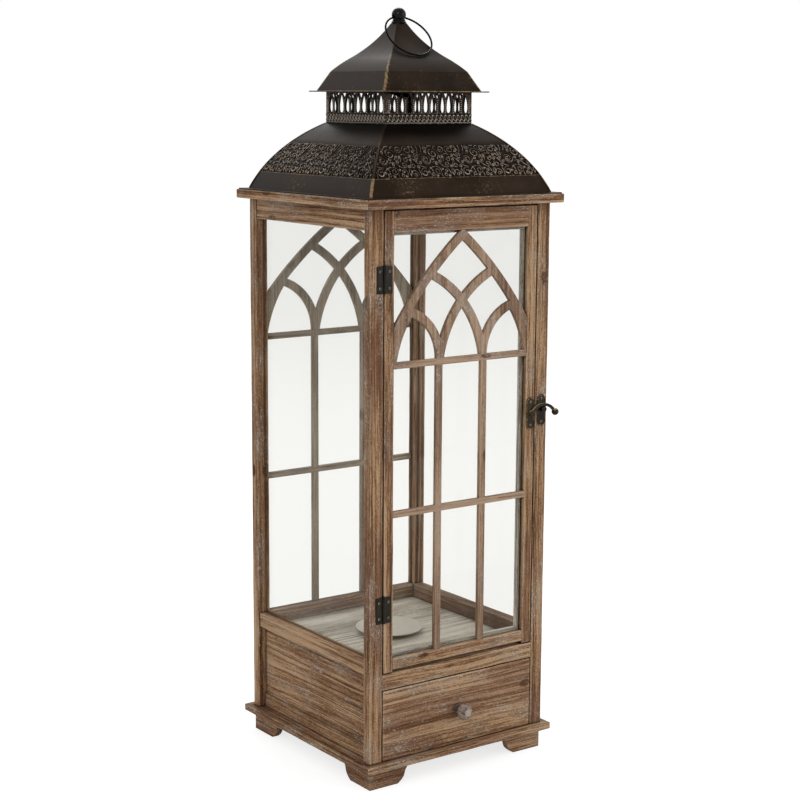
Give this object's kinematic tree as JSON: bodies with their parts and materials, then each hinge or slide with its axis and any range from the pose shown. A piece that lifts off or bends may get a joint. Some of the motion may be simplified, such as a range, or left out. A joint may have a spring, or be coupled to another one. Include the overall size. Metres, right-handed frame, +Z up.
{
  "type": "hanging lantern",
  "caption": "Tall square wooden candle lantern with a glazed tracery door over a drawer, under a tiered sheet-metal roof with a pierced gallery and a carrying ring.",
  "frame": {"origin": "centre of the square plan, on the surface that the feet stand on", "axes": "+X to the right along the door, the door and drawer face -Y, +Z up"},
  "size_m": [0.2421, 0.247, 0.7665],
  "materials": {
    "weathered_wood": "weathered, brushed with a thin white wash, bare edges",
    "whitewashed_board": "whitewashed board",
    "window_glass": "clear window glass",
    "bronzed_roof": "dark bronzed sheet, rubbed to brass on the edges",
    "dark_iron": "blackened iron",
    "antique_brass": "antique brass, dark, with rubbed edges",
    "plain_steel": "dull plated steel",
    "ring_wire": "black wire"
  },
  "bodies": {
    "frame": {"base_plate": "weathered_wood", "foot_front_left": "weathered_wood", "foot_front_right": "weathered_wood", "foot_back_left": "weathered_wood", "foot_back_right": "weathered_wood", "post_front_left": "weathered_wood", "post_front_right": "weathered_wood", "post_back_left": "weathered_wood", "post_back_right": "weathered_wood", "side_panel_left": "weathered_wood", "side_panel_right": "weathered_wood", "back_panel": "weathered_wood", "panel_strips": "weathered_wood", "front_rail": "weathered_wood", "sill_rail_left": "weathered_wood", "sill_rail_right": "weathered_wood", "sill_rail_back": "weathered_wood", "head_rail_left": "weathered_wood", "head_rail_right": "weathered_wood", "head_rail_back": "weathered_wood", "floor_board": "whitewashed_board", "floor_cleats": "weathered_wood", "glass_left": "window_glass", "glass_right": "window_glass", "glass_back": "window_glass", "back_tracery": "weathered_wood", "cornice_frame": "weathered_wood", "roof_front": "bronzed_roof", "roof_right": "bronzed_roof", "roof_back": "bronzed_roof", "roof_left": "bronzed_roof", "gallery_band": "bronzed_roof", "roof_cap": "bronzed_roof", "finial": "bronzed_roof", "candle_dish": "plain_steel", "dish_screw": "plain_steel", "hinge_post_leaves": "dark_iron", "hinge_pins": "dark_iron", "catch_plate": "antique_brass", "frame_nails": "dark_iron"},
    "door": {"door_stile_left": "weathered_wood", "door_stile_right": "weathered_wood", "door_rail_top": "weathered_wood", "door_rail_bottom": "weathered_wood", "door_tracery": "weathered_wood", "door_glass": "window_glass", "door_beads": "weathered_wood", "hinge_door_leaves": "dark_iron", "latch_plate": "antique_brass", "door_nails": "dark_iron"},
    "latch": {"latch_lever": "antique_brass"},
    "drawer": {"drawer_front": "weathered_wood", "drawer_side_left": "weathered_wood", "drawer_side_right": "weathered_wood", "drawer_back": "weathered_wood", "drawer_bottom": "weathered_wood", "drawer_knob": "weathered_wood", "knob_screw": "dark_iron"},
    "ring": {"carry_ring": "ring_wire"}
  },
  "joints": [
    {"name": "door_hinge", "type": "hinge", "parent": "frame", "child": "door", "pos_m": [-0.09425, -0.1116, 0.3452], "axis": [0, 0, -1], "range_deg": [0, 165]},
    {"name": "latch_pivot", "type": "hinge", "parent": "door", "child": "latch", "pos_m": [0.088, -0.1131, 0.361], "axis": [0, -1, 0], "range_deg": [0, 85]},
    {"name": "drawer_slide", "type": "slide", "parent": "frame", "child": "drawer", "axis": [0, -1, 0], "range_m": [0, 0.15]},
    {"name": "ring_swing", "type": "hinge", "parent": "frame", "child": "ring", "pos_m": [0, 0, 0.75718], "axis": [-1, 0, 0], "range_deg": [0, 274]}
  ]
}
